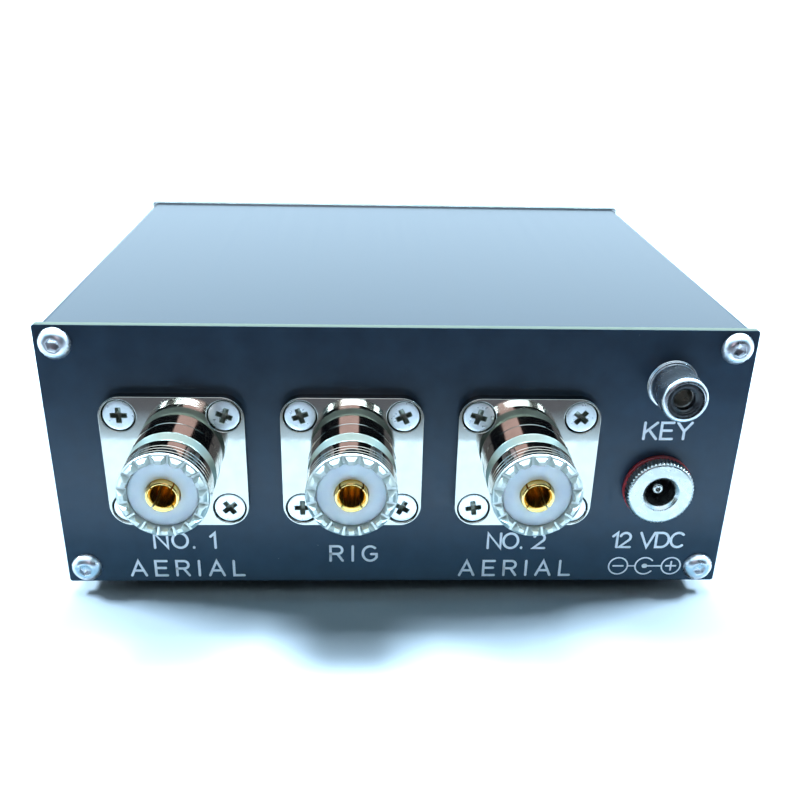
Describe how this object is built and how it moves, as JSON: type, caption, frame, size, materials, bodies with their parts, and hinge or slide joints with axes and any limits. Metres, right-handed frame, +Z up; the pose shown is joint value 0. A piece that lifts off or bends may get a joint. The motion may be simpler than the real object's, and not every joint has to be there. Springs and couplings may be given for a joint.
{
  "type": "antenna tuner",
  "caption": "Two-antenna tuner and phaser box: extruded case, rear panel with coaxial sockets, phono keying jack and barrel power jack, front panel with turning knobs and power toggle.",
  "frame": {"origin": "ground plane (underside of the feet), under the middle of the whole box", "axes": "+Z up; -Y out of the rear panel with the sockets; +Y out of the front panel with the knobs; +X to the right for someone looking at the rear panel"},
  "size_m": [0.125, 0.1408, 0.0536],
  "materials": {
    "case_anodised": "satin black anodised",
    "panel_black": "semi-gloss black solder mask with white print",
    "stainless_screw": "bright stainless",
    "foot_rubber": "matt",
    "nickel": "bright nickel plate",
    "dark_nickel": "bright nickel plate",
    "satin_nickel": "satin nickel plate",
    "ptfe": "waxy white",
    "gilt": "gilt",
    "zinc_screw": "bright zinc",
    "tinned": "tinned",
    "black_plastic": "moulded",
    "red_fibre": "fibre washer",
    "pot_metal": "plated",
    "shaft_brass": "turned",
    "knob_plastic": "moulded, satin",
    "grub_steel": "black oxide",
    "switch_plastic": "moulded",
    "lamp_lens": "tinted lens",
    "board_green": "solder mask",
    "relay_case": "moulded",
    "core_red": "enamelled iron powder",
    "copper_wire": "enamelled copper",
    "capacitor_sleeve": "shrink sleeve",
    "epoxy_black": "moulded epoxy",
    "regulator_epoxy": "moulded epoxy with metal tab",
    "wire_insulation": "insulated wire",
    "arrester_ceramic": "ceramic tube"
  },
  "bodies": {
    "case": {"lower_shell": "case_anodised", "upper_shell": "case_anodised", "rear_panel": "panel_black", "front_panel": "panel_black", "rear_panel_screws": "stainless_screw", "front_panel_screws": "stainless_screw", "rubber_feet": "foot_rubber", "antenna_1_socket_shell": "nickel", "antenna_1_socket_insulator": "ptfe", "antenna_1_socket_contact": "gilt", "radio_socket_shell": "nickel", "radio_socket_insulator": "ptfe", "radio_socket_contact": "gilt", "antenna_2_socket_shell": "nickel", "antenna_2_socket_insulator": "ptfe", "antenna_2_socket_contact": "gilt", "socket_screws": "zinc_screw", "socket_washers": "zinc_screw", "socket_nuts": "zinc_screw", "phono_jack_nut": "zinc_screw", "power_jack_nut": "zinc_screw", "pot_washers": "zinc_screw", "pot_nuts": "zinc_screw", "power_switch_nut": "zinc_screw", "socket_ground_tags": "tinned", "phono_jack_ground_tag": "tinned", "power_jack_terminals": "tinned", "phono_jack_contact": "tinned", "power_jack_pin": "tinned", "phono_jack_sleeve": "dark_nickel", "phono_jack_insulator": "black_plastic", "power_jack_insulator": "black_plastic", "power_jack_shell": "satin_nickel", "power_lamp_holder": "satin_nickel", "power_jack_washer": "red_fibre", "gain_1_pot": "pot_metal", "phase_pot": "pot_metal", "gain_2_pot": "pot_metal", "power_switch_body": "switch_plastic", "power_lamp": "lamp_lens", "main_board": "board_green", "bypass_relays": "relay_case", "toroid_cores": "core_red", "toroid_windings": "copper_wire", "capacitors": "capacitor_sleeve", "transistors": "epoxy_black", "regulator": "regulator_epoxy", "hookup_wires": "wire_insulation", "surge_arresters": "arrester_ceramic"},
    "gain_1_control": {"gain_1_shaft": "shaft_brass", "gain_1_knob": "knob_plastic", "gain_1_knob_screw": "grub_steel"},
    "phase_control": {"phase_shaft": "shaft_brass", "phase_knob": "knob_plastic", "phase_knob_screw": "grub_steel"},
    "gain_2_control": {"gain_2_shaft": "shaft_brass", "gain_2_knob": "knob_plastic", "gain_2_knob_screw": "grub_steel"},
    "switch_lever": {"power_switch_lever": "satin_nickel"}
  },
  "joints": [
    {"name": "gain_1_turn", "type": "hinge", "parent": "case", "child": "gain_1_control", "pos_m": [0.038, 0.0534, 0.0287], "axis": [0, -1, 0], "range_deg": [-150, 150]},
    {"name": "phase_turn", "type": "hinge", "parent": "case", "child": "phase_control", "pos_m": [0.006, 0.0534, 0.0287], "axis": [0, -1, 0], "range_deg": [-150, 150]},
    {"name": "gain_2_turn", "type": "hinge", "parent": "case", "child": "gain_2_control", "pos_m": [-0.026, 0.0534, 0.0287], "axis": [0, -1, 0], "range_deg": [-150, 150]},
    {"name": "power_toggle", "type": "hinge", "parent": "case", "child": "switch_lever", "pos_m": [-0.049, 0.056, 0.0287], "axis": [1, 0, 0], "range_deg": [0, 26]}
  ]
}
